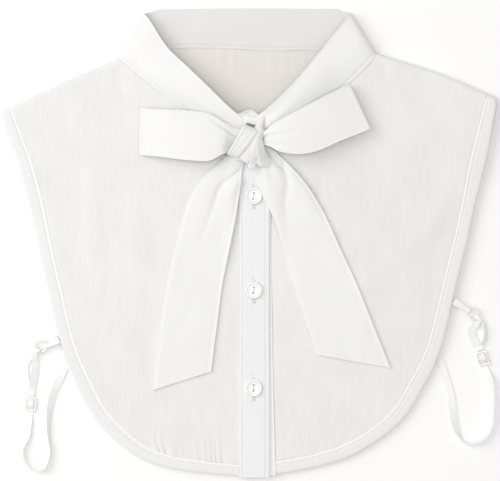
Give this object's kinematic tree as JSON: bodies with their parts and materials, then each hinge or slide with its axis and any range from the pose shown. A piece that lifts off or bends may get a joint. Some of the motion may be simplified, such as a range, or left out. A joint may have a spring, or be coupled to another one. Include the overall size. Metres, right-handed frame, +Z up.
{
  "type": "detachable collar",
  "caption": "Detachable half-blouse collar lying flat: tied bow at a stand collar, button placket, sheer front and back panels with bound edges, and adjustable elastic side straps.",
  "frame": {"origin": "on the table under the middle of the collar's outline, as it lies on its back", "axes": "+X to the right of a person who looks down on the front, +Y towards the neck, +Z up from the table"},
  "size_m": [0.3456, 0.329, 0.0279],
  "materials": {
    "voile": "matte",
    "cotton": "matte",
    "binding": "matte",
    "button": "satin",
    "elastic": "matte",
    "hardware": "satin"
  },
  "bodies": {
    "root": {"back_panel": "voile", "back_binding": "binding", "front_panel_left": "voile", "front_panel_right": "voile", "front_binding_left": "binding", "front_binding_right": "binding", "placket": "cotton", "button_stand": "voile", "button_1": "button", "button_2": "button", "button_3": "button", "collar_band": "cotton", "bow_loop_left": "cotton", "bow_loop_right": "cotton", "bow_tail_left": "cotton", "bow_tail_right": "cotton", "bow_knot": "cotton", "strap_tab_left": "elastic", "strap_tab_right": "elastic", "strap_ring_left": "hardware", "strap_ring_right": "hardware", "strap_slider_left": "hardware", "strap_slider_right": "hardware", "side_strap_left": "elastic", "side_strap_right": "elastic"}
  },
  "joints": []
}
